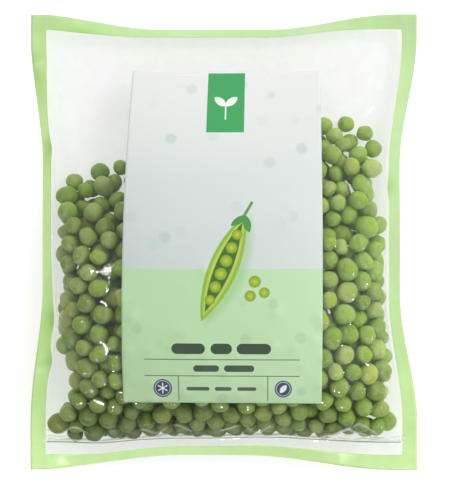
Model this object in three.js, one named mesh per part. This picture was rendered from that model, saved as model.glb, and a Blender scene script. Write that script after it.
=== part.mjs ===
// A clear pouch of frozen peas, heat-sealed all round, lying on its back with its printed face up.
// Millimetres, +Z up. X runs across the pouch and Y from its full end to its slack, airy end.
// The origin is the middle of the outline, on the surface that the pouch lies on.

import * as THREE from "three";

const { lerp, smoothstep } = THREE.MathUtils;

// Driving dimensions of the flat pouch
const WIDTH = 178;
const LENGTH = 210;
const BAND = 6.9; // the printed border, sealed flat
const SEAL_THICKNESS = 0.8;

// Each side of the outline is drawn in by the filling, and its border tips down, so that less of it
// shows from above. t runs up the left and right sides, and from left to right along the ends.
// A span [a, b, c, d] is where an effect begins, is full, begins to fade and has gone. clear is the
// unprinted part of the seal inside the border, at the corners and in the middle of the side.
const SIDES = {
  left: {
    pull: 5.5,
    pullSpan: [0.04, 0.38, 0.66, 0.98],
    seen: 4.2,
    seenSpan: [0.1, 0.5, 0.76, 0.95],
    clear: [0.6, 1.0],
  },
  right: {
    pull: 8.0,
    pullSpan: [0.04, 0.36, 0.67, 0.98],
    seen: 5.2,
    seenSpan: [0.04, 0.4, 0.7, 1.0],
    clear: [0.6, 1.0],
  },
  bottom: {
    pull: 6.4,
    pullSpan: [-0.05, 0.38, 0.56, 0.97],
    seen: 4.5,
    seenSpan: [0.0, 0.18, 0.42, 1.0],
    clear: [6.0, 3.8],
  },
  top: {
    pull: 6.7,
    pullSpan: [-0.04, 0.32, 0.62, 0.98],
    seen: 4.0,
    seenSpan: [0.02, 0.34, 0.72, 1.0],
    clear: [0.6, 1.4],
  },
};

// Heights of the seams above the surface that the pouch lies on
const SEAM_FULL_END = 12;
const SEAM_MIDDLE = 17;
const SEAM_SLACK_END = 8.5;
const SEAM_RISEN_AT = 0.22; // share of the length, from the full end
const SEAM_FALLS_FROM = 0.5;
const RIPPLE = 0.7; // waves in the border's outer edge
const RIPPLE_ACROSS = 57;
const RIPPLE_ALONG = 48;

// The filled pillow: how far it rises above the seams, and how blunt its shoulders are
const DOME = 29;
const CROSS_POWER = 2.6;
const CROSS_ROUND = 0.52;
const FULL_END_SPAN = 0.3; // share of the length in which the full end rises
const SLACK_FROM = 0.36; // where the top film starts down to the slack end
const SLACK_POWER = 1.7;
const SLACK_ROUND = 0.9;

// The underside: above 1 the keel is pressed flat
const KEEL = 1.6;
const KEEL_POWER = 2.4;
const KEEL_ROUND = 0.55;
const KEEL_END_SPAN = 0.2;
const KEEL_LIFTS_FROM = 0.55;

// The peas that show as bumps in the film
const PEA_PITCH = 9.6;
const BUMP = 1.5;
const BUMP_SIZES = [0.55, 1.25];
const BUMP_RADIUS = 5.4;
const STEPS_PER_PEA = 3;
const PILE_END = 45; // Y of the pile's free edge, at the middle
const PILE_SLOPE = 0.19; // the pile reaches higher on the right
const PILE_FADE = [46, 12]; // the film leaves the peas this far before the free edge
const SEAM_FADE = [0.04, 0.3]; // and towards the seams, as shares of its rise there

// The mesh: a fine net on top that follows the peas, and one of double steps underneath
const STEP = PEA_PITCH / STEPS_PER_PEA;
const ROW_STEP = STEP * Math.sin(Math.PI / 3);
const RINGS = 2; // columns or rows from the outer edge to the seam
const evenNumber = (x) => 2 * Math.round(x / 2);
const COLUMNS = evenNumber((WIDTH - 2 * BAND) / STEP) + 2 * RINGS;
const ROWS = evenNumber((LENGTH - 2 * BAND) / ROW_STEP) + 2 * RINGS;

const OUTER = 0; // the lines that run round the pouch: its edge, the border's inner edge, the seam
const SEAM = 2;

function bow(t, [riseFrom, riseTo, fallFrom, fallTo]) {
  return smoothstep(t, riseFrom, riseTo) * (1 - smoothstep(t, fallFrom, fallTo));
}

function seenBand(side, t) {
  return lerp(BAND, side.seen, bow(t, side.seenSpan));
}

// How far a line lies inside the straight line between the outline's corners
function inset(side, t, line) {
  const pulled = bow(t, side.pullSpan);
  let distance = side.pull * pulled;
  if (line > OUTER) distance += seenBand(side, t);
  if (line === SEAM) distance += lerp(...side.clear, pulled);
  return distance;
}

// The border keeps its true width: where less shows from above, its outer edge is lower
function drop(side, t) {
  return Math.sqrt(BAND ** 2 - seenBand(side, t) ** 2);
}

function seamHeight(v) {
  const risen = lerp(SEAM_FULL_END, SEAM_MIDDLE, smoothstep(v, 0, SEAM_RISEN_AT));
  return risen - (SEAM_MIDDLE - SEAM_SLACK_END) * smoothstep(v, SEAM_FALLS_FROM, 1);
}

function ripple(x, y) {
  return RIPPLE * Math.sin((2 * Math.PI * x) / RIPPLE_ACROSS) * Math.cos((2 * Math.PI * y) / RIPPLE_ALONG);
}

// A blunt lens, 0 at both seams and 1 in the middle
function lens(t, power, round) {
  return Math.max(0, 1 - Math.abs(2 * t - 1) ** power) ** round;
}

function dome(u, v) {
  const fullEnd = lens(Math.min(v / FULL_END_SPAN, 1) / 2, CROSS_POWER, CROSS_ROUND);
  const slack = Math.max(0, (v - SLACK_FROM) / (1 - SLACK_FROM));
  const falling = (1 - slack ** SLACK_POWER) ** SLACK_ROUND;
  return DOME * lens(u, CROSS_POWER, CROSS_ROUND) * fullEnd * falling;
}

// The share of the seam's height that the underside has come down, 1 where it lies flat
function landed(u, v) {
  const fullEnd = lens(Math.min(v / KEEL_END_SPAN, 1) / 2, 2, 0.5);
  const along = fullEnd * (1 - smoothstep(v, KEEL_LIFTS_FROM, 1));
  const pressed = KEEL * lens(u, KEEL_POWER, KEEL_ROUND) * along;
  return 1 - (1 - Math.min(1, pressed)) ** 2;
}

// A repeatable random number from 0 to 1 for a pair of whole numbers
function hash(a, b) {
  const n = Math.sin(a * 127.1 + b * 311.7) * 43758.5453;
  return n - Math.floor(n);
}

// Height of the pea bump at a place in the net, from the crowns of the nearest peas. The crowns
// stand every third step in every third row, each such row half a pea to the side of the last.
function bump(column, row) {
  let height = 0;
  const firstRow = STEPS_PER_PEA * Math.floor(row / STEPS_PER_PEA);
  for (const crownRow of [firstRow, firstRow + STEPS_PER_PEA]) {
    const shift = (crownRow / 2) % STEPS_PER_PEA;
    const pea = Math.round((column - shift) / STEPS_PER_PEA);
    const across = (column - shift - pea * STEPS_PER_PEA) * STEP;
    const along = (row - crownRow) * ROW_STEP;
    const share = 1 - (across ** 2 + along ** 2) / BUMP_RADIUS ** 2;
    const size = lerp(...BUMP_SIZES, hash(pea, crownRow));
    height = Math.max(height, BUMP * size * Math.max(0, share));
  }
  return height;
}

// How firmly the film lies on the peas: not at all past the pile's free edge or at the seams
function contact(x, y, u, v) {
  const behindEdge = PILE_END + PILE_SLOPE * x - y;
  const onPile = smoothstep(behindEdge, PILE_FADE[1], PILE_FADE[0]);
  return onPile * smoothstep(lens(u, 2, 1) * lens(Math.min(v, 0.5), 2, 1), ...SEAM_FADE);
}

// A vertex of the net: its place seen from above, and the heights of both faces there
function netPoint(i, j) {
  const ringX = Math.min(i, COLUMNS - i, RINGS);
  const ringY = Math.min(j, ROWS - j, RINGS);
  const inside = ringX === RINGS && ringY === RINGS;
  const openColumn = i > RINGS && i < COLUMNS - RINGS;
  const column = i - RINGS + (openColumn && inside && j % 2 ? 0.5 : 0);
  const u = THREE.MathUtils.clamp(column / (COLUMNS - 2 * RINGS), 0, 1);
  const v = THREE.MathUtils.clamp((j - RINGS) / (ROWS - 2 * RINGS), 0, 1);

  const leftX = -WIDTH / 2 + inset(SIDES.left, v, ringX);
  const rightX = WIDTH / 2 - inset(SIDES.right, v, ringX);
  const bottomY = -LENGTH / 2 + inset(SIDES.bottom, u, ringY);
  const topY = LENGTH / 2 - inset(SIDES.top, u, ringY);
  const x = lerp(leftX, rightX, u);
  const y = lerp(bottomY, topY, v);

  let middle = seamHeight(v);
  if (ringX === OUTER) middle -= drop(i === 0 ? SIDES.left : SIDES.right, v);
  if (ringY === OUTER) middle -= drop(j === 0 ? SIDES.bottom : SIDES.top, u);
  if (ringX === OUTER || ringY === OUTER) middle += ripple(x, y);

  let top = middle + SEAL_THICKNESS / 2;
  let bottom = middle - SEAL_THICKNESS / 2;
  if (inside) {
    top += dome(u, v) + contact(x, y, u, v) * bump(column, j - RINGS);
    bottom *= 1 - landed(u, v);
  }
  return { x, y, top, bottom };
}

function makeFilledPouch() {
  const vertices = [];
  const triangles = [];
  const addVertex = (x, y, z) => vertices.push(x, y, z) / 3 - 1;
  const upper = [];
  const lower = [];
  for (let j = 0; j <= ROWS; j++) {
    upper.push([]);
    lower.push([]);
    for (let i = 0; i <= COLUMNS; i++) {
      const point = netPoint(i, j);
      upper[j].push(addVertex(point.x, point.y, point.top));
      const kept = i % 2 === 0 && j % 2 === 0;
      lower[j].push(kept ? addVertex(point.x, point.y, point.bottom) : null);
    }
  }

  // The printed face: every second row is shifted, so the diagonals alternate with the rows
  for (let j = 0; j < ROWS; j++) {
    for (let i = 0; i < COLUMNS; i++) {
      const [a, b] = [upper[j][i], upper[j][i + 1]];
      const [c, d] = [upper[j + 1][i], upper[j + 1][i + 1]];
      if (j % 2) triangles.push(a, d, c, a, b, d);
      else triangles.push(a, b, c, b, d, c);
    }
  }

  // The back, in double steps, its diagonals running towards the nearest corner
  for (let j = 0; j < ROWS; j += 2) {
    for (let i = 0; i < COLUMNS; i += 2) {
      const [a, b] = [lower[j][i], lower[j][i + 2]];
      const [c, d] = [lower[j + 2][i], lower[j + 2][i + 2]];
      const towardsCorner = i < COLUMNS / 2 === j < ROWS / 2;
      if (towardsCorner) triangles.push(a, d, b, a, c, d);
      else triangles.push(a, c, b, b, c, d);
    }
  }

  // The rim between them, walked round with the outside on the right
  const rim = [];
  for (let i = 0; i < COLUMNS; i++) rim.push([i, 0]);
  for (let j = 0; j < ROWS; j++) rim.push([COLUMNS, j]);
  for (let i = COLUMNS; i > 0; i--) rim.push([i, ROWS]);
  for (let j = ROWS; j > 0; j--) rim.push([0, j]);
  for (let k = 0; k < rim.length; k += 2) {
    const [[i0, j0], [i1, j1], [i2, j2]] = [0, 1, 2].map((step) => rim[(k + step) % rim.length]);
    const [start, end] = [lower[j0][i0], lower[j2][i2]];
    triangles.push(start, end, upper[j1][i1]);
    triangles.push(start, upper[j1][i1], upper[j0][i0]);
    triangles.push(end, upper[j2][i2], upper[j1][i1]);
  }

  const geometry = new THREE.BufferGeometry();
  geometry.setAttribute("position", new THREE.Float32BufferAttribute(vertices, 3));
  geometry.setIndex(triangles);
  geometry.computeVertexNormals();
  return geometry;
}

// Clear film over green peas, as one colour
function makePouchMaterial() {
  return new THREE.MeshStandardMaterial({ color: 0x9cbf68, roughness: 0.35, metalness: 0 });
}

const pouch = new THREE.Mesh(makeFilledPouch(), makePouchMaterial());
pouch.name = "pea_pouch";

const group = new THREE.Group();
group.add(pouch);

export default group;
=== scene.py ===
# A clear pouch of frozen peas, heat-sealed all round, lying on its back under a camera that looks
# straight down. The sizes below are millimetres, turned into Blender's metres when a mesh is made. X
# runs across the pouch and Y from its full end to its slack, airy end.

import math

import bpy
import numpy as np
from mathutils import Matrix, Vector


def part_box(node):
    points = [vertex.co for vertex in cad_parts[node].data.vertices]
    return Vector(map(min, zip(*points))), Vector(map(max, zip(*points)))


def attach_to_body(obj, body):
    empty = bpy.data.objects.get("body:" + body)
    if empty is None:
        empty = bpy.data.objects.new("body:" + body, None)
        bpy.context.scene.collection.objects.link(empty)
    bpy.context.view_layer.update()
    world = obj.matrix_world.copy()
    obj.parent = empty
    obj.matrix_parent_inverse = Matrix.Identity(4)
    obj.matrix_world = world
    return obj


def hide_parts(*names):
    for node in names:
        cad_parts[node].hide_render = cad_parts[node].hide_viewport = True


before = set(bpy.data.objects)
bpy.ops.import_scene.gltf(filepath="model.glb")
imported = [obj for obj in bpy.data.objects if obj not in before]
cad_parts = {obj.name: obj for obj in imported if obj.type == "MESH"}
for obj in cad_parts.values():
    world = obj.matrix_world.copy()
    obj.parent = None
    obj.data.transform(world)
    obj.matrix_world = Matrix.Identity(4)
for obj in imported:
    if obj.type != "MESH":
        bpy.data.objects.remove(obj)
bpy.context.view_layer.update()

MM = 0.001
SEED = 20

# The pouch, as in the part's source
LOW, HIGH = (np.array(corner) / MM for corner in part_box("pea_pouch"))
WIDTH, LENGTH = (HIGH - LOW)[:2]
BAND = 6.9  # the printed border, sealed flat
# Each side of the pouch: how far the filling pulls it in and over which span, how wide the border
# looks there and over which span, the width of the clear part of the seal inside it at the corners
# and in the middle, and how much painted shade darkens the seam's inner edge
KEYS = ("pull", "pull_span", "seen", "seen_span", "clear", "line")
LEFT, RIGHT, BOTTOM, TOP = (
    dict(zip(KEYS, row))
    for row in (
        (5.5, (0.04, 0.38, 0.66, 0.98), 4.2, (0.1, 0.5, 0.76, 0.95), (0.6, 1.0), 0.18),
        (8.0, (0.04, 0.36, 0.67, 0.98), 5.2, (0.04, 0.4, 0.7, 1.0), (0.6, 1.0), 0.12),
        (6.4, (-0.05, 0.38, 0.56, 0.97), 4.5, (0.0, 0.18, 0.42, 1.0), (6.0, 3.8), 0.9),
        (6.7, (-0.04, 0.32, 0.62, 0.98), 4.0, (0.02, 0.34, 0.72, 1.0), (0.6, 1.4), 0.1),
    )
)
# The height of the seam along the pouch, and the ripple of the rim
SEAM_FULL_END, SEAM_MIDDLE, SEAM_SLACK_END = 12, 17, 8.5
SEAM_RISEN_AT, SEAM_FALLS_FROM = 0.22, 0.5
RIPPLE, RIPPLE_ACROSS, RIPPLE_ALONG = 0.7, 57, 48
# The domed upper film, across and along the pouch, and the flat that it lies on
DOME, CROSS_POWER, CROSS_ROUND, FULL_END_SPAN = 29, 2.6, 0.52, 0.3
SLACK_FROM, SLACK_POWER, SLACK_ROUND = 0.36, 1.7, 0.9
KEEL, KEEL_POWER, KEEL_ROUND = 1.6, 2.4, 0.55
KEEL_END_SPAN, KEEL_LIFTS_FROM = 0.2, 0.55
# Where the pile ends along the middle, how that line slopes, and how the film's bumps fade there
PILE_END, PILE_SLOPE, PILE_FADE, SEAM_FADE = 45, 0.19, (46, 12), (0.04, 0.3)

# The film
SEAL = 0.24  # both films of the border together
BAND_STEPS, CLEAR_STEPS = 6, 6
STEPS_ACROSS, STEPS_ALONG = 168, 204
CROWN = 1.3  # height of the pea bumps over the dome
CONTACT_SLACK = 1.9  # how far the film may sink between peas
SEAM_SLACK = 4.5  # and in the empty margin along the side seams
PRINT_SLACK = 0.7  # and where the panel's ink stiffens it
AIR_SLACK = 0.25
SEAM_MARGIN = (4, 16)
MARGIN_FADE = (-10, 10)  # that margin begins here, counted from the pile's edge
DRAPE_STEPS, DRAPE_TENSION = 260, 0.985
BUMP_REACH = 14  # a pea's bump covers at most this many lines of the net each way
FILM_LOWEST = 0.03
PUCKER = 0.32  # height of the pleats, the lengths of their waves, and how far they run in
END_PLEATS, END_PLEATS_REACH = (23, 13.7, 8.9, 6.1), 7
SIDE_PLEATS, SIDE_PLEATS_REACH = (31, 17.3, 11.1, 7.7), 5
RIM_PLEATS, SEAM_PLEATS = 0.8, 0.4  # their share on the sealed rim, and of that at the seam
# Creases along the bottom seam: their height, their width, how far inside the seam the first one
# runs, and how far it wanders over waves of these lengths
CREASE = 0.8
CREASE_WIDTH = 0.75
CREASE_IN = 0.6
CREASE_WANDER, CREASE_WAVES = 0.7, (47, 19, 9)
# Beside each is a valley: how far off, in crease widths, and how deep, as a share of the crease
VALLEY_OFF, VALLEY_DEPTH = 1.6, 0.6
CREASE_FADE = (8, 12)
# Arcs over the bottom row of peas, in places
ARC_IN, ARC_HEIGHT = 4.6, 0.85
ARC_WANDER, ARC_WAVES = 2.2, (24, 15)
ARC_PLACES, ARC_SPAN = (41, 17), (-0.3, 0.2)
# The peak that they rise in: its X, half its length, and its height
PEAK_AT, PEAK_HALF, PEAK_RISE = 57, 12, 5.2
# Where the border is pinched: the side, the middle and half the length of the place, and how far the
# border's inner edge moves inwards there
# Each place is also painted a darker green on the border, painted shade; the last one only that
PINCHES = (
    (LEFT, 43, 4, 0.6),
    (LEFT, -36, 7, 0.9),
    (LEFT, -55, 5, 1.3),
    (RIGHT, 25, 4.5, 0.8),
    (TOP, -66, 9, 0),
)
PINCH_REACH = 3
CLEARANCE = 0.08
LIFTED = 2.2  # the film looks fully hazy this far above the peas

# The peas
PEA_RADIUS, PEA_SPREAD, PEA_LIMITS = 4.5, 0.38, (3.7, 5.3)
PACKING = 0.6  # share of the pile's space that the peas fill
PILE_STEEPNESS = 0.95
PILE_FOOT = 6  # the plane that bounds the pile meets the ground this far past its edge
PILE_DIP = 4.5  # and this much less far on the left
DIP_SPAN = (15, 50)
PEA_LOWEST = 0.07  # just over the film that lies on the ground
# The least and most space that the peas leave along each seam, and bays in the pile besides: the
# side, the middle and half the length of each, and its depth
GAP_LEFT = (0.4, 5)
GAP_RIGHT = (0.4, 3)
GAP_ENDS = (0.4, 3.0)
BAYS = (
    (LEFT, -64, 14, 9),
    (LEFT, -20, 8, 4.5),
    (LEFT, 14, 7, 3.5),
    (RIGHT, 19, 9, 6),
    (RIGHT, -68, 9, 6),
)
GAP_WAVES = (57, 33, 19)
GAP_SHARE, GAP_UNEVEN = 0.42, 0.85  # where between the two they lie, and how far that wanders
GAP_STEEPNESS = 3  # how fast the space closes where the peas don't go
ROOM_ABOVE, ROOM_BELOW = 0.1, 0.15  # between the peas and either film
GRID_MARGIN = 10
PLUMP = 1.13  # the peas' size over that of the balls that are packed, which touch at fewer places
# How they are packed: they grow from their first size in this share of the steps, push each other
# apart with this firmness, and drift less and less towards the full end and down
PACK_STEPS = 520
FIRST_SIZE, GROWTH, GROWING = 0.55, 0.45, 0.4
PAIRS_EVERY, PAIRS_MARGIN = 4, 1.5  # near pairs are found afresh every so many steps
FIRMNESS = 0.36
DRIFT_BACK, DRIFT_DOWN = 0.02, 0.05
# How far peas stray from the pile's sloping surface, and how many of them stray how much further
STRAY = 1.2
FAR_STRAY_SHARE, FAR_STRAY = 0.03, 6
# How a pea's form departs from a ball: ripples of some depth and waves over it, dents, and flats
PEA_RIPPLES = ((0.05, 2.0), (0.04, 3.4), (0.018, 6.5))
PEA_DENTS, DENT_DEPTH, DENT_WIDTH = 3, (0, 0.16), (0.05, 0.3)
PEA_FLATS, FLAT_AT, FLAT_EDGE = 5, (0.8, 1.02), 16.0
PEA_STRETCH = (0.85, 1.0)
FINE_WITHIN = 2.6  # peas this many radii from a surface that shows get more faces
FINE_STEPS, COARSE_STEPS = 7, 4


def lerp(a, b, t):
    return a + (b - a) * t


def smoothstep(t, start, end):
    share = np.clip((t - start) / (end - start), 0, 1)
    return share * share * (3 - 2 * share)


def table(*columns):
    """Arrays of one size as the columns of a table."""
    return np.stack([column.ravel() for column in columns], axis=1)


def between_points(grid, column, row):
    """The value of a grid at a place between its points."""
    i = np.minimum(column.astype(int), grid.shape[1] - 2)
    j = np.minimum(row.astype(int), grid.shape[0] - 2)
    near = lerp(grid[j, i], grid[j, i + 1], column - i)
    far = lerp(grid[j + 1, i], grid[j + 1, i + 1], column - i)
    return lerp(near, far, row - j)


def bow(t, span):
    rise_from, rise_to, fall_from, fall_to = span
    return smoothstep(t, rise_from, rise_to) * (1 - smoothstep(t, fall_from, fall_to))


def seen_band(side, t):
    return lerp(BAND, side["seen"], bow(t, side["seen_span"]))


def inset(side, t, ring):
    """How far a line lies inside the pouch's corners: ring is 0 at the outer edge, 1 at the
    border's inner edge and 2 at the seam."""
    pulled = bow(t, side["pull_span"])
    clear = lerp(*side["clear"], pulled)
    across_band = np.minimum(ring, 1) * seen_band(side, t)
    return side["pull"] * pulled + across_band + np.maximum(ring - 1, 0) * clear


def drop(side, t):
    """How far the border falls from the seam to its outer edge, where it looks narrower."""
    return np.sqrt(BAND**2 - seen_band(side, t) ** 2)


def seam_height(v):
    risen = lerp(SEAM_FULL_END, SEAM_MIDDLE, smoothstep(v, 0, SEAM_RISEN_AT))
    return risen - (SEAM_MIDDLE - SEAM_SLACK_END) * smoothstep(v, SEAM_FALLS_FROM, 1)


def ripple(x, y):
    across = np.sin(2 * math.pi * x / RIPPLE_ACROSS)
    return RIPPLE * across * np.cos(2 * math.pi * y / RIPPLE_ALONG)


def lens(t, power, rounding):
    return np.maximum(0, 1 - np.abs(2 * t - 1) ** power) ** rounding


def dome(u, v):
    full_end = lens(np.minimum(v / FULL_END_SPAN, 1) / 2, CROSS_POWER, CROSS_ROUND)
    slack = np.clip((v - SLACK_FROM) / (1 - SLACK_FROM), 0, 1)
    falling = (1 - slack**SLACK_POWER) ** SLACK_ROUND
    return DOME * lens(u, CROSS_POWER, CROSS_ROUND) * full_end * falling


def landed(u, v):
    """1 where the lower film lies on the ground, falling to 0 at the seam."""
    full_end = lens(np.minimum(v / KEEL_END_SPAN, 1) / 2, 2, 0.5)
    along = full_end * (1 - smoothstep(v, KEEL_LIFTS_FROM, 1))
    pressed = KEEL * lens(u, KEEL_POWER, KEEL_ROUND) * along
    return 1 - (1 - np.minimum(1, pressed)) ** 2


def contact(x, y, u, v):
    """1 where the upper film lies on the peas, falling to 0 where they end."""
    behind_edge = PILE_END + PILE_SLOPE * x - y
    on_pile = smoothstep(behind_edge, PILE_FADE[1], PILE_FADE[0])
    return on_pile * smoothstep(lens(u, 2, 1) * lens(np.minimum(v, 0.5), 2, 1), *SEAM_FADE)


def place(u, v, ring_x, ring_y):
    """Where a point of the net lies, seen from above."""
    left = -WIDTH / 2 + inset(LEFT, v, ring_x)
    right = WIDTH / 2 - inset(RIGHT, v, ring_x)
    bottom = -LENGTH / 2 + inset(BOTTOM, u, ring_y)
    top = LENGTH / 2 - inset(TOP, u, ring_y)
    return lerp(left, right, u), lerp(bottom, top, v)


def net_place(x, y):
    """The place (u, v) between the seams of points seen from above, found step by step."""
    u, v = x / WIDTH + 0.5, y / LENGTH + 0.5
    for _ in range(8):
        left, bottom = place(0, np.clip(v, 0, 1), 2, 2)[0], place(np.clip(u, 0, 1), 0, 2, 2)[1]
        right, top = place(1, np.clip(v, 0, 1), 2, 2)[0], place(np.clip(u, 0, 1), 1, 2, 2)[1]
        u, v = (x - left) / (right - left), (y - bottom) / (top - bottom)
    return u, v


def waves(t, lengths, rng):
    """A repeatable uneven ripple from -1 to 1 along t."""
    total = sum(np.sin(2 * math.pi * t / length + rng.uniform(0, 7)) for length in lengths)
    return total / len(lengths)


def pucker(x, y, u, v):
    """Small pleats that run in from the seams and die out."""
    rng = np.random.default_rng(SEED)
    from_end = np.minimum(v, 1 - v) * LENGTH
    from_side = np.minimum(u, 1 - u) * WIDTH
    across = waves(x, END_PLEATS, rng) * np.exp(-from_end / END_PLEATS_REACH)
    along = waves(y, SIDE_PLEATS, rng) * np.exp(-from_side / SIDE_PLEATS_REACH)
    return PUCKER * (across + along)


def crease_peak(x):
    return PEAK_RISE * np.maximum(0, 1 - np.abs(x - PEAK_AT) / PEAK_HALF)


def crease(x, y):
    """Sharp folds along the bottom seam that rise in a peak near the right corner. Ridges are up
    to 1 and the valleys beside them below 0."""
    u = np.clip(net_place(x, y)[0], 0, 1)
    inward = y - place(u, 0, 2, 2)[1]
    rng = np.random.default_rng(SEED + 3)
    line = CREASE_IN + CREASE_WANDER * waves(x, CREASE_WAVES, rng)
    near_peak = 1 - smoothstep(np.abs(x - PEAK_AT), PEAK_HALF, 1.8 * PEAK_HALF)
    arcs = line + ARC_IN + ARC_WANDER * waves(x, ARC_WAVES, rng)
    arcs_seen = smoothstep(waves(x, ARC_PLACES, rng), *ARC_SPAN) * (1 - near_peak)
    total = 0
    for middle, height in (
        (line, 0.8),
        (line + crease_peak(x) + 0.7, 0.5 + 0.5 * near_peak),
        (line + 1.3 * crease_peak(x - 4) + 1.8, 0.9 * near_peak),
        (arcs, ARC_HEIGHT * arcs_seen),
    ):
        away = (inward - middle) / CREASE_WIDTH
        valley = VALLEY_DEPTH * np.exp(-((away - VALLEY_OFF) ** 2))
        total = total + height * (np.exp(-(away**2)) - valley)
    return total * (1 - smoothstep(inward, *CREASE_FADE))


def pinches(x, y, u, v):
    """How far pinches move the net across the pouch, and how strong they are at each point, which
    sets the painted shade on the border there.
    """
    left, right = inset(LEFT, v, 1) - WIDTH / 2, WIDTH / 2 - inset(RIGHT, v, 1)
    moved, strength = np.zeros_like(x), np.zeros_like(x)
    for side, middle, half, shift in PINCHES:
        if side is TOP:
            along, away = x, y - (LENGTH / 2 - inset(TOP, u, 1))
        else:
            along, away = y, x - (left if side is LEFT else right)
        near = np.exp(-(((along - middle) / half) ** 2) - (away / PINCH_REACH) ** 2)
        moved += near * (shift if side is LEFT else -shift)
        strength = np.maximum(strength, near)
    return moved, strength


def rest_heights(x, y, u, v):
    """The heights of both films before the peas press into them."""
    seam = seam_height(v)
    upper = seam + dome(u, v) + CROWN * contact(x, y, u, v)
    lower = seam * (1 - landed(u, v))
    return upper, lower


# Packing the peas


class Container:
    """The space inside the pouch as height maps on a square grid, one millimetre a step."""

    def __init__(self):
        self.x0, self.y0 = -WIDTH / 2 - GRID_MARGIN, -LENGTH / 2 - GRID_MARGIN
        x = np.arange(self.x0, -self.x0 + 1)
        y = np.arange(self.y0, -self.y0 + 1)
        self.x, self.y = np.meshgrid(x, y)
        u, v = net_place(self.x, self.y)
        rng = np.random.default_rng(SEED + 2)
        outside = np.zeros_like(u)
        sides = [
            (LEFT, GAP_LEFT, self.y, u * WIDTH),
            (RIGHT, GAP_RIGHT, self.y, (1 - u) * WIDTH),
            (None, GAP_ENDS, self.x, np.minimum(v, 1 - v) * LENGTH),
        ]
        for side, gaps, along, inward in sides:
            share = GAP_SHARE + GAP_UNEVEN * waves(along, GAP_WAVES, rng)
            gap = lerp(*gaps, np.clip(share, 0, 1))
            for bay_side, middle, half, depth in BAYS:
                if bay_side is side:
                    gap = gap + depth * np.exp(-(((along - middle) / half) ** 4))
            outside = np.maximum(outside, gap - inward)
        outside = np.maximum(outside, crease_peak(self.x) - v * LENGTH)
        u, v = np.clip(u, 0, 1), np.clip(v, 0, 1)
        upper, lower = rest_heights(self.x, self.y, u, v)
        self.upper = upper - ROOM_ABOVE - GAP_STEEPNESS * outside
        self.lower = np.maximum(lower, 0) + ROOM_BELOW + GAP_STEEPNESS * outside
        self.upper_slope = np.gradient(self.upper)[::-1]
        self.lower_slope = np.gradient(self.lower)[::-1]

    def sample(self, grid, x, y):
        column = np.clip(x - self.x0, 0, grid.shape[1] - 1.001)
        row = np.clip(y - self.y0, 0, grid.shape[0] - 1.001)
        return between_points(grid, column, row)


def pile_edge(x):
    """Where the plane that bounds the pile meets the ground."""
    return PILE_END + PILE_SLOPE * x + PILE_FOOT - PILE_DIP * smoothstep(-x, *DIP_SPAN)


def pile_excess(points, stray):
    """How far each point stands out of the pile's sloping free surface."""
    edge = pile_edge(points[:, 0]) + stray
    return points[:, 2] + PILE_STEEPNESS * (points[:, 1] - edge)


def touch_points():
    """Places on a ball, as shares of its radius: sideways, and how far up the ball is there."""
    spots = [(0, 0, 1)]
    for reach in (0.45, 0.85):
        for k in range(8):
            angle = math.pi * k / 4
            rise = math.sqrt(1 - reach**2)
            spots.append((reach * math.cos(angle), reach * math.sin(angle), rise))
    return np.array(spots)


def keep_inside(box, points, radii, spots):
    """Moves each pea off the film that it presses on, at the place where it presses most."""
    for grid, slope, side in ((box.upper, box.upper_slope, 1), (box.lower, box.lower_slope, -1)):
        x = points[:, :1] + spots[:, 0] * radii[:, None]
        y = points[:, 1:2] + spots[:, 1] * radii[:, None]
        z = points[:, 2:] + side * spots[:, 2] * radii[:, None]
        room = side * (box.sample(grid, x, y) - z)
        worst = room.argmin(axis=1)
        rows = np.arange(len(points))
        room, x, y = room[rows, worst], x[rows, worst], y[rows, worst]
        slope_x, slope_y = (box.sample(part, x, y) for part in slope)
        push = np.where(room < 0, -room / (1 + slope_x**2 + slope_y**2), 0) * side
        points += table(push * slope_x, push * slope_y, -push)


def near_pairs(points, reach):
    squares = (points**2).sum(axis=1)
    apart = squares[:, None] + squares[None, :] - 2 * points @ points.T
    first, second = np.nonzero(apart < reach**2)
    keep = first < second
    return first[keep], second[keep]


def push_apart(points, radii, pairs):
    first, second = pairs
    between = points[first] - points[second]
    distance = np.sqrt((between**2).sum(axis=1)) + 1e-9
    overlap = np.maximum(radii[first] + radii[second] - distance, 0)
    push = between * (FIRMNESS * overlap / distance)[:, None]
    for axis in range(3):
        points[:, axis] += np.bincount(first, push[:, axis], len(points))
        points[:, axis] -= np.bincount(second, push[:, axis], len(points))


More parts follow.
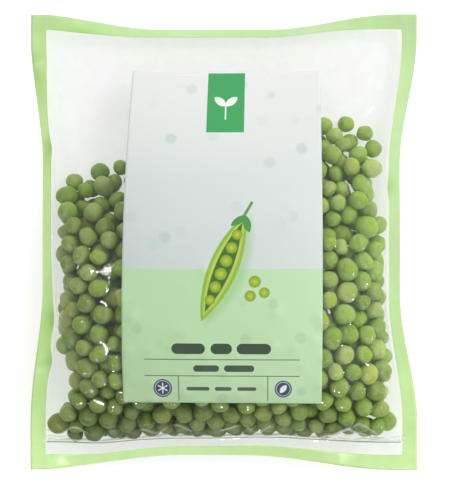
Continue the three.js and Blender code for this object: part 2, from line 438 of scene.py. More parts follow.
def pack_peas():
    """Middles and radii of the peas, grown from points until they fill the pile's space."""
    rng = np.random.default_rng(SEED)
    box = Container()
    depth = np.maximum(box.upper - box.lower, 0)
    slope_top = PILE_STEEPNESS * (pile_edge(box.x) - box.y)
    filled = np.clip(np.minimum(box.upper, slope_top) - box.lower, 0, depth)
    pea_volume = 4 / 3 * math.pi * (PEA_RADIUS**3 + 3 * PEA_RADIUS * PEA_SPREAD**2)
    count = int(PACKING * filled.sum() / pea_volume)

    cells = rng.choice(filled.size, count, p=filled.ravel() / filled.sum())
    height = box.lower.ravel()[cells] + rng.uniform(0, 1, count) * filled.ravel()[cells]
    points = table(box.x.ravel()[cells], box.y.ravel()[cells], height)
    points[:, :2] += rng.uniform(-0.5, 0.5, (count, 2))
    radii = np.clip(rng.normal(PEA_RADIUS, PEA_SPREAD, count), *PEA_LIMITS)
    stray = rng.exponential(STRAY, count)
    stray += np.where(rng.uniform(0, 1, count) < FAR_STRAY_SHARE, FAR_STRAY, 0)

    spots = touch_points()
    surface = np.array([-PILE_STEEPNESS * PILE_SLOPE, PILE_STEEPNESS, 1])
    for step in range(PACK_STEPS):
        grown = min(1, FIRST_SIZE + GROWTH * step / (GROWING * PACK_STEPS))
        if step % PAIRS_EVERY == 0:
            pairs = near_pairs(points, 2 * PEA_LIMITS[1] + PAIRS_MARGIN)
        points[:, 1] -= DRIFT_BACK * (1 - step / PACK_STEPS)
        points[:, 2] -= DRIFT_DOWN * (1 - step / PACK_STEPS)
        push_apart(points, radii * grown, pairs)
        excess = np.maximum(pile_excess(points, stray), 0)
        points -= (excess / (surface**2).sum())[:, None] * surface
        keep_inside(box, points, radii * grown, spots)
    return box, points, radii * PLUMP


# The printed panel: its outline on the film, from its top left corner
PANEL_TOP, PANEL_BOTTOM = 78.2, -72.4
PANEL_LEFT, PANEL_RIGHT = -41.8, 44.1
LEFT_BOW, LEFT_BOW_AT = 4.0, 0.72  # how far the left edge bows out, and how far down most
RIGHT_BOW, TOP_SAG = 0.4, 1.2
TOP_RISE, BOTTOM_FALL = 0.4, 0.7  # from left to right
PANEL_FADE = (-3, 3)
PANEL_SIZE = (90, 152)  # the flat print that is stretched over the outline
PANEL_OVER = (0.05, 0.13)  # how far its two faces lie over the film
PANEL_COLUMNS, PANEL_ROWS = 92, 154
FIELDS_MEET = 90.8
SPOT_SPACING = 12
HAIRLINE = 0.42


def panel_place(s, t):
    """Where a place on the print lies on the pouch. s and t run from its top left corner."""
    left = PANEL_LEFT - LEFT_BOW * (1 - (1 - t / LEFT_BOW_AT) ** 2)
    right = PANEL_RIGHT + RIGHT_BOW * np.sin(math.pi * t)
    top = PANEL_TOP + TOP_RISE * s - TOP_SAG * np.sin(math.pi * s)
    bottom = PANEL_BOTTOM - BOTTOM_FALL * s**2
    return lerp(left, right, s), lerp(top, bottom, t)


def on_panel(x, y):
    """1 under the panel, fading to 0 just outside it."""
    t = np.clip((PANEL_TOP - y) / (PANEL_TOP - PANEL_BOTTOM), 0, 1)
    left, right = panel_place(0, t)[0], panel_place(1, t)[0]
    outside = np.maximum(np.maximum(left - x, x - right), PANEL_BOTTOM - y)
    return 1 - smoothstep(outside, *PANEL_FADE)


# The film


def net_lines(steps):
    """The ring and the place across of each line of the net, closer near the seams."""
    band = np.linspace(0, 1, BAND_STEPS, endpoint=False)
    rim = np.concatenate([band, np.linspace(1, 2, CLEAR_STEPS, endpoint=False)])
    even = np.linspace(0, 1, steps + 1)
    inner = lerp(even, 0.5 - 0.5 * np.cos(math.pi * even), 0.5)
    ring = np.concatenate([rim, np.full(inner.size, 2.0), rim[::-1]])
    across = np.concatenate([np.zeros(rim.size), inner, np.ones(rim.size)])
    return ring, across, inner


def pea_tops(x, y, inner_u, inner_v, points, radii):
    """The highest pea surface over each point of the net inside the seams."""
    tops = np.full(x.shape, -1e3)
    place_u, place_v = net_place(points[:, 0], points[:, 1])
    columns = np.interp(place_u, inner_u, np.arange(inner_u.size)).astype(int)
    rows = np.interp(place_v, inner_v, np.arange(inner_v.size)).astype(int)
    for (px, py, pz), radius, i, j in zip(points, radii, columns, rows):
        window = tuple(slice(max(k - BUMP_REACH, 0), k + BUMP_REACH + 1) for k in (j, i))
        inside = radius**2 - (x[window] - px) ** 2 - (y[window] - py) ** 2
        over = pz + np.sqrt(np.maximum(inside, 0))
        tops[window] = np.where(inside > 0, np.maximum(tops[window], over), tops[window])
    return tops


def drape(rest, tops, slack):
    """Draws the film tight over the peas: it sinks between them by at most its slack."""
    held = tops + CLEARANCE - rest
    sunk = np.zeros_like(rest)
    for _ in range(DRAPE_STEPS):
        mean = np.zeros_like(sunk)
        mean[1:-1, 1:-1] = (
            sunk[:-2, 1:-1] + sunk[2:, 1:-1] + sunk[1:-1, :-2] + sunk[1:-1, 2:]
        ) / 4
        sunk = np.maximum(lerp(-slack, mean, DRAPE_TENSION), held)
        sunk[[0, -1]] = 0
        sunk[:, [0, -1]] = 0
    return rest + sunk


class Film:
    """The two films as nets of points."""

    def __init__(self, points, radii):
        ring_x, u, self.inner_u = net_lines(STEPS_ACROSS)
        ring_y, v, self.inner_v = net_lines(STEPS_ALONG)
        u, v = np.meshgrid(u, v)
        ring_x, ring_y = np.meshgrid(ring_x, ring_y)
        x, y = place(u, v, ring_x, ring_y)
        moved, self.pinch_shade = pinches(x, y, u, v)
        x = x + moved
        self.x, self.y = x, y
        fold_x, fold_y = np.maximum(1 - ring_x, 0), np.maximum(1 - ring_y, 0)
        fold = np.maximum(fold_x, fold_y)
        self.printed = fold > 0
        self.line = crease(x, y) * (fold == 0)

        middle = seam_height(v)
        middle = middle - fold_x * np.where(u < 0.5, drop(LEFT, v), drop(RIGHT, v))
        middle = middle - fold_y * np.where(v < 0.5, drop(BOTTOM, u), drop(TOP, u))
        middle += fold * ripple(x, y)
        middle += RIM_PLEATS * pucker(x, y, u, v) * lerp(SEAM_PLEATS, 1, fold)
        middle += CREASE * self.line
        self.upper, self.lower = middle + SEAL / 2, middle - SEAL / 2
        self.lifted = np.ones_like(self.upper)
        self.drape_inside(u, v, points, radii)

        # Along each seam the line takes that side's painted shade, which darkens the film's colour
        # there and not its form
        at_seam = (ring_x == 2) & (ring_y == 2)
        for side, on_side in ((LEFT, u == 0), (RIGHT, u == 1), (TOP, v == 1), (BOTTOM, v == 0)):
            self.line = np.where(at_seam & on_side, -side["line"], self.line)

    def drape_inside(self, u, v, points, radii):
        """Draws both films over the peas inside the seams."""
        rim = BAND_STEPS + CLEAR_STEPS
        inside = (slice(rim, -rim), slice(rim, -rim))
        x, y, u, v = self.x[inside], self.y[inside], u[inside], v[inside]
        slack = lerp(AIR_SLACK, CONTACT_SLACK, contact(x, y, u, v))
        margin = 1 - smoothstep(np.minimum(u, 1 - u) * WIDTH, *SEAM_MARGIN)
        on_pile = smoothstep(PILE_END + PILE_SLOPE * x - y, *MARGIN_FADE)
        slack = lerp(slack, SEAM_SLACK, margin * on_pile)
        upper_slack = lerp(slack, np.minimum(slack, PRINT_SLACK), on_panel(x, y))
        upper, lower = rest_heights(x, y, u, v)
        pleats = pucker(x, y, u, v) + CREASE * self.line[inside]

        tops = pea_tops(x, y, self.inner_u, self.inner_v, points, radii)
        self.height = drape(upper + SEAL / 2 + pleats, tops, upper_slack)
        self.upper[inside] = self.height
        self.lifted[inside] = np.clip((self.height - tops - CLEARANCE) / LIFTED, 0, 1)

        mirrored = points * np.array([1, 1, -1])
        undersides = pea_tops(x, y, self.inner_u, self.inner_v, mirrored, radii)
        flattened = pleats * (1 - landed(u, v))
        under = -drape(-(lower - SEAL / 2 + flattened), undersides, slack)
        self.lower[inside] = np.maximum(under, FILM_LOWEST)

    def height_at(self, x, y):
        """Height of the upper film over points between the seams."""
        u, v = net_place(x, y)
        column = np.interp(u, self.inner_u, np.arange(self.inner_u.size))
        row = np.interp(v, self.inner_v, np.arange(self.inner_v.size))
        return between_points(self.height, column, row)


# Meshes


def add_object(name, data, place_mm=(0, 0, 0)):
    added = bpy.data.objects.new(name, data)
    added.location = [part * MM for part in place_mm]
    bpy.context.collection.objects.link(added)
    return added


def add_attribute(piece, name, kind, field, values):
    attribute = piece.data.attributes.new(name, kind, "POINT")
    attribute.data.foreach_set(field, values.astype(np.float32).ravel())


def make_mesh(name, vertices, quads, uv, slots=None):
    """A smooth mesh of four-sided faces. vertices are in millimetres, uv has one pair a corner."""
    mesh = bpy.data.meshes.new(name)
    mesh.vertices.add(len(vertices))
    mesh.vertices.foreach_set("co", (np.asarray(vertices) * MM).astype(np.float32).ravel())
    mesh.loops.add(quads.size)
    mesh.loops.foreach_set("vertex_index", quads.astype(np.int32).ravel())
    mesh.polygons.add(len(quads))
    mesh.polygons.foreach_set("loop_start", np.arange(0, quads.size, 4, dtype=np.int32))
    mesh.polygons.foreach_set("use_smooth", np.ones(len(quads), dtype=bool))
    if slots is not None:
        mesh.polygons.foreach_set("material_index", slots.astype(np.int32))
    layer = mesh.uv_layers.new(name="OFBake")
    layer.data.foreach_set("uv", uv.astype(np.float32).ravel())
    mesh.update(calc_edges=True)
    return add_object(name, mesh)


def grid_quads(rows, columns, first=0, flipped=False):
    """Faces of a net whose points are counted row by row."""
    index = first + np.arange(rows * columns).reshape(rows, columns)
    quads = table(index[:-1, :-1], index[:-1, 1:], index[1:, 1:], index[1:, :-1])
    return quads[:, ::-1] if flipped else quads


def rim_quads(rows, columns):
    """Faces that join the edges of two nets of the same size, the upper one counted first."""
    index = np.arange(rows * columns).reshape(rows, columns)
    loop = np.concatenate([index[0, :-1], index[:-1, -1], index[-1, :0:-1], index[:0:-1, 0]])
    following = np.roll(loop, -1)
    below = rows * columns
    return table(loop, loop + below, following + below, following)


def two_sided(x, y, upper, lower):
    """Two nets, one above the other, closed at the rim: points, faces, and places on each net."""
    rows, columns = x.shape
    under = grid_quads(rows, columns, rows * columns, flipped=True)
    quads = np.concatenate([grid_quads(rows, columns), under, rim_quads(rows, columns)])
    vertices = np.concatenate([table(x, y, upper), table(x, y, lower)])
    s, t = np.meshgrid(np.linspace(0, 1, columns), np.linspace(0, 1, rows))
    return vertices, quads, table(s, t)


def make_film(film):
    rows, columns = film.x.shape
    vertices, quads, places = two_sided(film.x, film.y, film.upper, film.lower)
    count = rows * columns
    half = np.array([0.5, 1.0])
    point_uv = np.concatenate([places * half, places * half + np.array([0.5, 0])])
    printed = film.printed.ravel()
    slots = printed[quads % count].any(axis=1)
    piece = make_mesh("clear_film", vertices, quads, point_uv[quads], slots)
    lifted = np.concatenate([film.lifted.ravel(), np.full(count, 0.5)])
    line, pinch_shade = np.tile(film.line.ravel(), 2), np.tile(film.pinch_shade.ravel(), 2)
    for name, values in (("lifted", lifted), ("line", line), ("pinch_shade", pinch_shade)):
        add_attribute(piece, name, "FLOAT", "value", values)
    return piece


# Peas as meshes


def cube_sphere(steps):
    """Directions to the points of a ball made from a cube, its faces, and each face's UV."""
    angle = np.tan(np.linspace(-math.pi / 4, math.pi / 4, steps + 1))
    a, b = np.meshgrid(angle, angle)
    one = np.ones_like(a)
    sides = [(one, a, b), (-one, b, a), (b, one, a), (a, -one, b), (a, b, one), (b, a, -one)]
    points = np.concatenate([table(*side) for side in sides])
    points /= np.linalg.norm(points, axis=1)[:, None]
    size = (steps + 1) ** 2
    quads = np.concatenate([grid_quads(steps + 1, steps + 1, k * size) for k in range(6)])
    within = np.linspace(0.04, 0.96, steps + 1)
    s, t = np.meshgrid(within, within)
    uv = np.concatenate([table((s + k % 3) / 3, (t + k // 3) / 2) for k in range(6)])[quads]
    near = np.round(points, 5)
    _, first, merged = np.unique(near, axis=0, return_index=True, return_inverse=True)
    return points[first], merged.ravel()[quads], uv


def unit_vectors(rng, *shape):
    vectors = rng.normal(size=(*shape, 3))
    return vectors / np.linalg.norm(vectors, axis=-1, keepdims=True)


def pea_shapes(directions, radii, rng):
    """Points of each pea round its middle: a dented, slightly squashed ball inside its radius."""
    count = len(radii)
    form = np.ones((count, len(directions)))
    for depth, coarse in PEA_RIPPLES:
        facing = unit_vectors(rng, count) @ directions.T
        form += depth * np.cos(coarse * facing + rng.uniform(0, 6.3, (count, 1)))
    for _ in range(PEA_DENTS):
        facing = unit_vectors(rng, count) @ directions.T
        depth = rng.uniform(*DENT_DEPTH, (count, 1))
        form -= depth * np.exp(-(1 - facing) / rng.uniform(*DENT_WIDTH, (count, 1)))
    for _ in range(PEA_FLATS):
        facing = unit_vectors(rng, count) @ directions.T
        flat = rng.uniform(*FLAT_AT, (count, 1)) / np.maximum(facing, 0.05)
        form = (form**-FLAT_EDGE + flat**-FLAT_EDGE) ** (-1 / FLAT_EDGE)
    form /= form.max(axis=1, keepdims=True)
    stretch = rng.uniform(*PEA_STRETCH, (count, 1, 3))
    shapes = directions[None] * form[..., None] * stretch
    first = unit_vectors(rng, count)
    second = np.cross(first, unit_vectors(rng, count))
    second /= np.linalg.norm(second, axis=1, keepdims=True)
    turn = np.stack([first, second, np.cross(first, second)], axis=1)
    return np.einsum("pvk,pkl->pvl", shapes, turn) * radii[:, None, None]


def make_peas(name, middles, radii, fine, rng):
    """One piece of one kind of pea. fine says which peas lie near the film, and get more faces."""
    tiles = math.ceil(math.sqrt(len(middles)))
    vertices, quads, uv, tints = [], [], [], []
    start = 0
    for chosen, steps in ((fine, FINE_STEPS), (~fine, COARSE_STEPS)):
        directions, faces, face_uv = cube_sphere(steps)
        count = int(chosen.sum())
        shapes = pea_shapes(directions, radii[chosen], rng) + middles[chosen][:, None]
        shapes[..., 2] = np.maximum(shapes[..., 2], PEA_LOWEST)
        offsets = start + np.arange(count)[:, None, None] * len(directions)
        number = np.nonzero(chosen)[0]
        tile = table(number % tiles, number // tiles)
        vertices.append(shapes.reshape(-1, 3))
        quads.append((faces[None] + offsets).reshape(-1, 4))
        uv.append(((face_uv[None] + tile[:, None, None]) / tiles).reshape(-1, 4, 2))
        tint = np.concatenate([rng.uniform(0, 1, (count, 3)), np.ones((count, 1))], axis=1)
        tints.append(np.repeat(tint, len(directions), axis=0))
        start += count * len(directions)
    piece = make_mesh(name, np.concatenate(vertices), np.concatenate(quads), np.concatenate(uv))
    add_attribute(piece, "skin", "FLOAT_COLOR", "color", np.concatenate(tints))
    return piece


def make_panel(film):
    s, t = np.meshgrid(np.linspace(0, 1, PANEL_COLUMNS), np.linspace(1, 0, PANEL_ROWS))
    x, y = panel_place(s, t)
    height = film.height_at(x, y)
    vertices, quads, _ = two_sided(x, y, height + PANEL_OVER[1], height + PANEL_OVER[0])
    front = table(s, 1 - t)
    back = np.full_like(front, 0.001)
    point_uv = np.concatenate([front, back])
    return make_mesh("printed_panel", vertices, quads, point_uv[quads])


# Materials


def feed(tree, slot, value):
    """Links a node's input to a value that is worked out, or sets it."""
    if isinstance(value, Number):
        value = value.socket
    if isinstance(value, bpy.types.NodeSocket):
        tree.links.new(value, slot)
    else:
        slot.default_value = value


class Number:
    """A value that a material works out at each point. Sums of it become Math nodes."""

    def __init__(self, tree, socket):
        self.tree, self.socket = tree, socket

    def _math(self, operation, *others, clamp=False):
        node = self.tree.nodes.new("ShaderNodeMath")
        node.operation = operation
        node.use_clamp = clamp
        for slot, value in zip(node.inputs, (self, *others)):
            feed(self.tree, slot, value)
        return Number(self.tree, node.outputs[0])

    def __add__(self, other):
        return self._math("ADD", other)

    def __sub__(self, other):
        return self._math("SUBTRACT", other)

    def __mul__(self, other):
        return self._math("MULTIPLY", other)

    def __abs__(self):
        return self._math("ABSOLUTE")

    def at_least(self, other):
        return self._math("MAXIMUM", other)

    def root(self):
        return self._math("SQRT")

    def share(self, start, end):
        """0 at start and 1 at end."""
        scale = 1 / (end - start)
        return self._math("MULTIPLY_ADD", scale, -start * scale, clamp=True)


class Material:
    """A node material under construction."""

    def __init__(self, name):
        self.material = bpy.data.materials.new(name)
        self.material.use_nodes = True
        self.tree = self.material.node_tree
        self.tree.nodes.clear()
        self.output = self.add("ShaderNodeOutputMaterial")

    def add(self, kind, inputs=None, **settings):
        node = self.tree.nodes.new(kind)
        for name, value in settings.items():
            setattr(node, name, value)
        for name, value in (inputs or {}).items():
            feed(self.tree, node.inputs[name], value)
        return node

    def number(self, socket):
        return Number(self.tree, socket)

    def attribute(self, name):
        return self.number(self.add("ShaderNodeAttribute", attribute_name=name).outputs["Fac"])

    def position(self):
        return self.add("ShaderNodeTexCoord").outputs["Object"]

    def between(self, axis, start, end, both_ways=False):
        """0 at start and 1 at end, two places as shares of the pouch's size, or their mirror
        images too."""
        parts = self.add("ShaderNodeSeparateXYZ", {0: self.position()})
        value = self.number(parts.outputs[axis])
        size = {"X": WIDTH, "Y": LENGTH}[axis] * MM
        return (abs(value) if both_ways else value).share(start * size, end * size)

    def noise(self, size, detail=2.0, where=None):
        """Soft noise from 0 to 1 with features of about that size in millimetres."""
        inputs = {"Scale": 1 / (size * MM), "Detail": detail, "Vector": where or self.position()}
        return self.number(self.add("ShaderNodeTexNoise", inputs).outputs[0])

    def mix(self, share, under, over):
        """A colour between two others."""
        under, over = ((*c, 1) if isinstance(c, tuple) else c for c in (under, over))
        inputs = {0: share, 6: under, 7: over}
        return self.add("ShaderNodeMix", inputs, data_type="RGBA").outputs[2]

    def bump(self, height, depth):
        """A normal bent by a height from 0 to 1, for relief of that depth in millimetres."""
        inputs = {"Height": height, "Distance": depth * MM, "Strength": 1.0}
        return self.add("ShaderNodeBump", inputs).outputs["Normal"]

    def blend(self, share, under, over):
        """A shader between two others."""
        return self.add("ShaderNodeMixShader", {0: share, 1: under.outputs[0], 2: over.outputs[0]})

    def finish(self, shader):
        self.tree.links.new(shader.outputs[0], self.output.inputs["Surface"])
        return self.material

    def principled(self, inputs):
        return self.finish(self.add("ShaderNodeBsdfPrincipled", inputs))


def srgb(red, green, blue):
    """A colour as a picture's numbers from 0 to 255, turned into light."""
    return tuple(
        part / 12.92 if part <= 0.04045 else ((part + 0.055) / 1.055) ** 2.4
        for part in (red / 255, green / 255, blue / 255)
    )


def clear_film_material():
    m = Material("clear_film")
    stretched = m.add("ShaderNodeMapping", {"Vector": m.position(), "Scale": (1, 0.12, 1)})
    streaks = m.noise(2.4, 2.0, stretched.outputs[0])
    normal = m.bump(m.noise(2.6) * 0.6 + streaks * 0.4, 0.12)
    clear = m.add("ShaderNodeBsdfTransparent", {"Color": (0.948, 0.946, 0.95, 1)})
    white = m.mix(m.noise(30), (0.86, 0.87, 0.87), (0.93, 0.94, 0.93))
    haze = m.add("ShaderNodeBsdfDiffuse", {"Color": white, "Normal": normal})
    # Thin film reflects alike from both sides, and looks hazier where it is seen edge on
    slant = m.number(m.add("ShaderNodeLayerWeight", {"Blend": 0.5}).outputs["Facing"])
    steep = slant * slant
    lifted, line = m.attribute("lifted"), m.attribute("line")
    # It is pressed tighter at the full end, and clearer
    full_end = m.between("Y", -0.28, -0.4)

    # Frost dulls it just beside each pea that it clings to
    frosted = lifted.share(0, 0.12) * lifted.share(0.9, 0.3)
    haze_and_painted_highlight = frosted * (m.noise(9).share(0.3, 0.8) * 0.11 + 0.03) + lifted * 0.03
    haze_and_painted_highlight = (haze_and_painted_highlight + steep * slant * 0.1) * (full_end * -0.8 + 1)
    # Painted highlight and painted shade: crease ridges get extra white haze, and the seams and the
    # valleys beside the creases a dark sheet
    haze_and_painted_highlight = haze_and_painted_highlight + line.share(0.25, 0.9) * 0.5
    body = m.blend(haze_and_painted_highlight, clear, haze)
    dark = m.add("ShaderNodeBsdfDiffuse", {"Color": (*srgb(120, 128, 96), 1)})
    seam = (line * -1).share(0.35, 0.9) * 0.7
    body = m.blend(seam, body, dark)

    gloss = m.add("ShaderNodeBsdfGlossy", {"Roughness": 0.07, "Normal": normal})
    mirror = steep * steep * (full_end * -0.16 + 0.22) + 0.022
    return m.finish(m.blend(mirror, body, gloss))


def border_material():
    """Green print whose colour also holds painted light and shade by place: lighter at the full end
    and upper right, darker along the right, at the slack end and where the border is pinched.
    """
    m = Material("border_print")
    green = m.mix(m.noise(16, 3.0).share(0.3, 0.7), srgb(194, 236, 140), srgb(214, 252, 166))
    # Darker greens for the painted shade along the right
    shaded = m.mix(m.noise(24).share(0.35, 0.65), srgb(176, 212, 138), srgb(192, 228, 160))
    right, slack_end = m.between("X", 0, 0.5), m.between("Y", 0.3, 0.5)
    upper_right = right * m.between("Y", 0.05, 0.25) * (slack_end * -0.7 + 1)
    middle_right = right * m.between("Y", 0.3, 0, both_ways=True)
    middle_top = slack_end * m.between("X", 0.4, 0.2, both_ways=True)
    # Painted light and shade: each place below is mixed towards a lighter or darker green; only the
    # fine noise is the print's own uneven tone
    for share, colour in (
        (right * 0.9, shaded),
        (slack_end * 0.8, srgb(185, 221, 152)),
        (m.between("Y", -0.2, -0.5) * 0.9, srgb(218, 255, 174)),
        (middle_right * 0.6, srgb(176, 203, 144)),
        (upper_right * 0.6, srgb(200, 233, 176)),
        (middle_top * 0.6, srgb(176, 204, 154)),
        (m.noise(8, 3.0).share(0.5, 0.75) * 0.2, srgb(160, 222, 112)),
        (m.attribute("pinch_shade") * 0.6, srgb(140, 204, 84)),
    ):
        green = m.mix(share, green, colour)
    inputs = {
        "Base Color": green,
        "Roughness": 0.34,
        "Coat Weight": 0.15,
        "Coat Roughness": 0.3,
        "Normal": m.bump(m.noise(1.2), 0.05),
    }
    return m.principled(inputs)


def pea_material(name, dark, light, warm):
    m = Material(name)
    skin = m.add("ShaderNodeAttribute", attribute_name="skin")
    parts = m.add("ShaderNodeSeparateColor", {0: skin.outputs["Color"]})
    tone, blush, fade = (m.number(parts.outputs[k]) for k in range(3))
    patches = m.noise(5.5, 2.0)
    base = m.mix(tone * 0.65 + patches.share(0.2, 0.8) * 0.35, dark, light)
    base = m.mix(patches.share(0.35, 0.75) * blush * blush * 0.4, base, warm)
    base = m.mix(m.noise(1.6, 3.0).share(0.45, 0.75) * 0.45, base, light)
    frost = m.noise(2.1, 4.0).share(0.5, 0.72) * (blush * -0.8 + 1)
    base = m.mix(frost * 0.4, base, srgb(212, 226, 168))
    # Painted shade: peas at the full end, most in its middle, and on the left are darkened towards a
    # deep olive green
    full_end, left = m.between("Y", -0.3, -0.42), m.between("X", 0.25, -0.5)
    midway = m.between("X", 0.46, 0.3, both_ways=True)
    painted_shade = full_end * (midway * 0.42 + 0.15) + left * 0.42
    base = m.mix(painted_shade, base, srgb(72, 100, 2))
    wrinkles = m.noise(2.4, 3.0) * fade + m.noise(0.9) * 0.25
    inputs = {
        "Base Color": base,
        "Roughness": 0.42,
        "Subsurface Weight": 0.25,
        "Subsurface Radius": (0.6, 1.0, 0.25),
        "Subsurface Scale": 1.6 * MM,
        "Specular IOR Level": 0.45,
        "Normal": m.bump(wrinkles, 0.8),
    }
    return m.principled(inputs)


def heading(degrees):
    """One step along a way on the print, turned clockwise from its X."""
    return np.array([math.cos(math.radians(degrees)), math.sin(math.radians(degrees))])


class Print(Material):
    """A material with shapes drawn in millimetres from the print's top left corner."""

    def __init__(self, name, size):
        super().__init__(name)
        uv = self.add("ShaderNodeUVMap", uv_map="OFBake")
        parts = self.add("ShaderNodeSeparateXYZ", {0: uv.outputs[0]})
        self.colour = None
        self.x = self.number(parts.outputs[0]) * size[0]
        self.y = (self.number(parts.outputs[1]) * -1 + 1) * size[1]

    def local(self, middle, degrees=0):
        """Coordinates about a point, turned clockwise by an angle."""
        x, y = self.x - middle[0], self.y - middle[1]
        if not degrees:
            return x, y
        cos, sin = heading(degrees)
        return x * cos + y * sin, y * cos - x * sin

    def disc(self, middle, radius):
        x, y = self.local(middle)
        return (x * x + y * y).root() - radius

    def bar(self, middle, length, thickness, degrees=0):
        """A bar with round ends."""
        x, y = self.local(middle, degrees)
        past = (abs(x) - (length - thickness) / 2).at_least(0)
        return (past * past + y * y).root() - thickness / 2

    def box(self, middle, width, height):
        x, y = self.local(middle)
        return (abs(x) - width / 2).at_least(abs(y) - height / 2)

    def leaf(self, middle, length, width, degrees=0):
        """A pointed oval, its points along its length."""
        x, y = self.local(middle, degrees)
        radius = (length**2 + width**2) / (4 * width)
        off = abs(y) + (radius - width / 2)
        return (x * x + off * off).root() - radius

    def draw(self, shape, ink, softness=0.12, strength=1):
        """Puts a shape of ink on the print. A shape is below 0 inside its outline."""
        share = shape.share(softness / 2, -softness / 2)
        share = share * strength if strength < 1 else share
        self.colour = self.mix(share, self.colour, ink)


def draw_fields(m):
    """Two fields, paler at the top, with faint round spots all over. Painted light and shade make
    both fields paler on the right and darker on the left.
    """
    across, along = m.x.share(0, PANEL_SIZE[0]), m.y
    upper = m.mix(along.share(0, 50), srgb(234, 235, 232), srgb(219, 226, 223))
    # Painted light and shade: the grey and the greens are darker on the left and paler on the right
    m.colour = m.mix(along.share(30, 92) * (across * -0.8 + 1), upper, srgb(202, 214, 210))
    green = m.mix(across, srgb(187, 223, 174), srgb(195, 227, 184))
    lower = m.mix(across, srgb(168, 203, 152), srgb(189, 225, 173))
    green = m.mix(along.share(105, 152) * 0.7, green, lower)
    m.draw(along * -1 + FIELDS_MEET, green)

    inputs = {"Vector": m.position(), "Scale": 1 / (SPOT_SPACING * MM), "Randomness": 1.0}
    spots = m.add("ShaderNodeTexVoronoi", inputs, voronoi_dimensions="3D")
    spot = m.number(spots.outputs["Distance"]).share(0.27, 0.17)
    drawn = m.add("ShaderNodeSeparateColor", {0: spots.outputs["Color"]})
    faint = m.number(drawn.outputs[0]).share(0.2, 1.0) * 0.3
    m.colour = m.mix(spot * faint, m.colour, srgb(128, 176, 140))


def draw_tab(m):
    """A plain tab that hangs from the top edge, with a sprout on it."""
    pale = srgb(236, 246, 232)
    m.draw(m.box((45.2, 13), 17.6, 30), srgb(66, 166, 94))
    for middle, degrees in (((42.6, 13.5), 35), ((47.8, 13.5), 145)):
        m.draw(m.leaf(middle, 7, 3.4, degrees), pale)
    m.draw(m.bar((45.2, 18.5), 7, 0.7, 90), pale)


def draw_pod(m):
    """A pea pod, open along its middle, and three loose peas."""
    middle, lean, length = (45.5, 90.0), 112, 50
    down = heading(lean)
    shade = m.leaf((middle[0] + 2.2, middle[1] + 1.5), length, 14, lean)
    m.colour = m.mix(shade.share(2.5, -1) * 0.45, m.colour, srgb(140, 196, 110))
    stalk = middle - down * (length / 2 + 3)
    m.draw(m.bar(stalk, 9, 1.3, lean + 8), srgb(96, 152, 74))
    for longer, width, softness, ink in (
        (3, 13, 0.12, srgb(148, 188, 54)),
        (-2, 10, 0.5, srgb(188, 208, 96)),
        (-6, 7.4, 0.4, srgb(64, 112, 42)),
    ):
        m.draw(m.leaf(middle, length + longer, width, lean), ink, softness)
    for turn, width in ((-38, 3.6), (34, 3.2)):
        root = middle - down * length / 2 + heading(lean + turn) * 3.4
        sepal = m.leaf(root, 8.5, width, lean + turn)
        m.draw(sepal, srgb(78, 152, 72))
    peas = []
    for k in range(6):
        size = 2.0 + 0.8 * math.sin(math.pi * (k + 1) / 7)
        peas.append((middle + down * 6.4 * (k - 2.5), size))
    peas += [((59.5, 96.5), 2.7), ((63.8, 101.5), 2.4), ((57.5, 103.0), 2.5)]
    for where, size in peas:
        ball = m.disc(where, size)
        lit = m.mix(ball.share(-size, 0), srgb(196, 208, 58), srgb(120, 160, 44))
        m.draw(ball, lit, 0.25)


def draw_foot(m):
    """Where the words stood: plain bars between thin lines, and two discs."""
    ink = srgb(12, 36, 20)
    for height, thickness, bars in (
        (127, 4.8, ((29.8, 15), (44.6, 9.6), (59.2, 15.4))),
        (136, 3.0, ((37.8, 11.6), (52.6, 13.6))),
        (145.4, 1.7, ((34, 10.4), (45.4, 7.6), (56, 8.6))),
    ):
        for middle, length in bars:
            bar = m.bar((middle, height), length, thickness)
            m.draw(bar, ink, strength=0.92)
    for middle, width, height in (
        ((44.9, 131.9), 69.8, HAIRLINE),
        ((44.9, 139.4), 69.8, HAIRLINE),
        ((25.3, 145.2), HAIRLINE, 11.6),
        ((65.5, 145.2), HAIRLINE, 11.6),
    ):
        m.draw(m.box(middle, width, height), ink, strength=0.8)

    navy, pale = srgb(38, 48, 92), srgb(226, 238, 226)
    frost, sprig = (18.1, 145.2), (72.5, 145.3)
    for middle, size in ((frost, 4.2), (sprig, 3.9)):
        m.draw(m.disc(middle, size), navy)
        m.draw(abs(m.disc(middle, size - 0.75)) - 0.1, pale)
    for degrees in (30, 90, 150):
        m.draw(m.bar(frost, 5, 0.5, degrees), pale)
    m.draw(m.leaf(sprig, 4.6, 2.4, -50), pale)


def panel_material():
    m = Print("panel_print", PANEL_SIZE)
    for draw in (draw_fields, draw_tab, draw_pod, draw_foot):
        draw(m)
    inputs = {
        "Base Color": m.colour,
        "Roughness": 0.5,
        "Specular IOR Level": 0.35,
        "Normal": m.bump(m.noise(3.0), 0.04),
    }
    return m.principled(inputs)


def floor_material():
    m = Material("floor")
    white = m.mix(m.noise(60, 3.0), (0.6, 0.6, 0.6), (0.62, 0.62, 0.62))
    inputs = {
        "Base Color": white,
        "Roughness": 0.8,
        "Specular IOR Level": 0.2,
        "Emission Color": (1, 1, 1, 1),
        "Emission Strength": 0.6,
    }
    return m.principled(inputs)


# The scene

EYE = (4.4, -0.35, 1213.0)
FRAME_HEIGHT = 223.1  # what the camera takes in at the height of the pouch's outline
OUTLINE_HEIGHT = 13.0
SENSOR = 36.0
# Brightness of the studio from the horizon, 0, to straight overhead, 1: white panels all round,
# brighter by these shares towards the right and towards the slack end
SKY = ((0, 0.52), (0.4, 0.74), (0.6, 0.84), (0.85, 0.84), (0.95, 0.6), (1, 0.42))
SKY_LEAN = (0.25, 0.54)
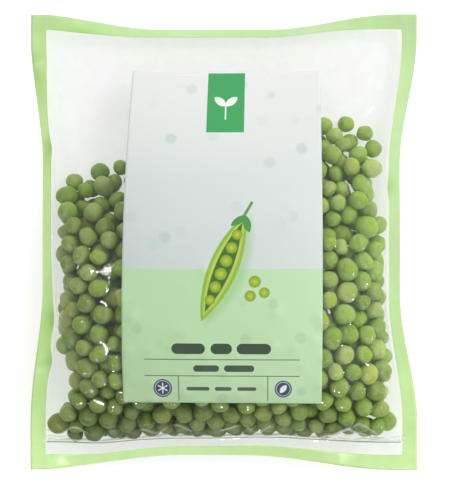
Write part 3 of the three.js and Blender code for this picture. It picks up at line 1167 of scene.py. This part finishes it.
# Square soft lamps: name, place, size, watts and what doesn't see them. The glints only show as
# highlights on the film, and the others never do
LAMPS = (
    ("key", (700, 500, 850), 460, 3.5, "visible_glossy"),
    ("fill", (0, -900, 350), 400, 1.0, "visible_glossy"),
    ("glint_left", (-613, 50, 900), 80, 1.4, "visible_diffuse"),
    ("glint_right", (900, -350, 500), 100, 1.8, "visible_diffuse"),
    ("glint_near", (150, -900, 800), 150, 4.8, "visible_diffuse"),
    ("glint_low", (-500, -800, 650), 130, 3.8, "visible_diffuse"),
)
FLOOR_SIZE = 6  # metres


def make_camera():
    data = bpy.data.cameras.new("camera")
    data.sensor_width = SENSOR
    data.lens = SENSOR * (EYE[2] - OUTLINE_HEIGHT) / FRAME_HEIGHT
    data.clip_end = 20
    bpy.context.scene.camera = add_object("camera", data, EYE)


def make_lamp(name, place_mm, size_mm, watts, unseen_by):
    """A lamp aimed at the middle of the pouch."""
    data = bpy.data.lights.new(name, "AREA")
    data.size = size_mm * MM
    data.energy = watts
    lamp = add_object(name, data, place_mm)
    x, y, z = place_mm
    lamp.rotation_euler = (math.atan2(math.hypot(x, y), z), 0, math.atan2(x, -y))
    setattr(lamp, unseen_by, False)


def make_surroundings():
    world = bpy.data.worlds.new("studio")
    world.use_nodes = True
    tree = world.node_tree
    background = tree.nodes["Background"]
    sky = tree.nodes.new("ShaderNodeTexCoord")
    parts = tree.nodes.new("ShaderNodeSeparateXYZ")
    ramp = tree.nodes.new("ShaderNodeValToRGB")
    tree.links.new(sky.outputs["Generated"], parts.inputs[0])
    tree.links.new(parts.outputs["Z"], ramp.inputs[0])
    tree.links.new(ramp.outputs[0], background.inputs["Color"])
    strength = Number(tree, parts.outputs["X"]) * SKY_LEAN[0] + 1
    strength = strength + Number(tree, parts.outputs["Y"]) * SKY_LEAN[1]
    tree.links.new(strength.socket, background.inputs["Strength"])
    stops = ramp.color_ramp.elements
    for height, _ in SKY[1:-1]:
        stops.new(height)
    for stop, (_, bright) in zip(stops, SKY):
        stop.color = (bright, bright, bright, 1)
    bpy.context.scene.world = world
    bpy.context.scene.view_settings.view_transform = "Standard"

    bpy.ops.mesh.primitive_plane_add(size=FLOOR_SIZE)
    floor = bpy.context.active_object
    floor.name = "floor"
    floor.data.materials.append(floor_material())

    for lamp in LAMPS:
        make_lamp(*lamp)


def attach(piece, slot_name, *materials):
    for material in materials:
        piece.data.materials.append(material)
    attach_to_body(piece, "root")
    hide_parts("pea_pouch")


# The dark, light and warm colours of each kind, and how many of all the peas are of it
PEA_KINDS = {
    "peas_fresh": (srgb(128, 168, 40), srgb(172, 206, 74), srgb(190, 206, 70)),
    "peas_green": (srgb(118, 152, 42), srgb(160, 190, 70), srgb(178, 190, 66)),
    "peas_yellow": (srgb(152, 174, 52), srgb(194, 208, 90), srgb(208, 208, 98)),
    "peas_pale": (srgb(150, 180, 78), srgb(194, 218, 116), srgb(206, 214, 104)),
}
KIND_SHARES = (0.4, 0.36, 0.09, 0.15)


def main():
    make_camera()
    make_surroundings()

    box, middles, radii = pack_peas()
    film = Film(middles, radii)

    attach(make_film(film), "clear_film", clear_film_material(), border_material())
    attach(make_panel(film), "panel_print", panel_material())

    rng = np.random.default_rng(SEED + 1)
    x, y, z = middles.T
    upper, lower = box.sample(box.upper, x, y) - z, z - box.sample(box.lower, x, y)
    u, v = net_place(x, y)
    seam = np.minimum(np.minimum(u, 1 - u) * WIDTH, np.minimum(v, 1 - v) * LENGTH)
    surface = -pile_excess(middles, 0)
    fine = np.minimum.reduce([upper, lower, seam, surface]) < FINE_WITHIN * PEA_RADIUS
    kind = rng.choice(len(PEA_KINDS), len(radii), p=KIND_SHARES)
    for k, (name, colours) in enumerate(PEA_KINDS.items()):
        chosen = kind == k
        piece = make_peas(name, middles[chosen], radii[chosen], fine[chosen], rng)
        attach(piece, "peas", pea_material(name, *colours))


main()
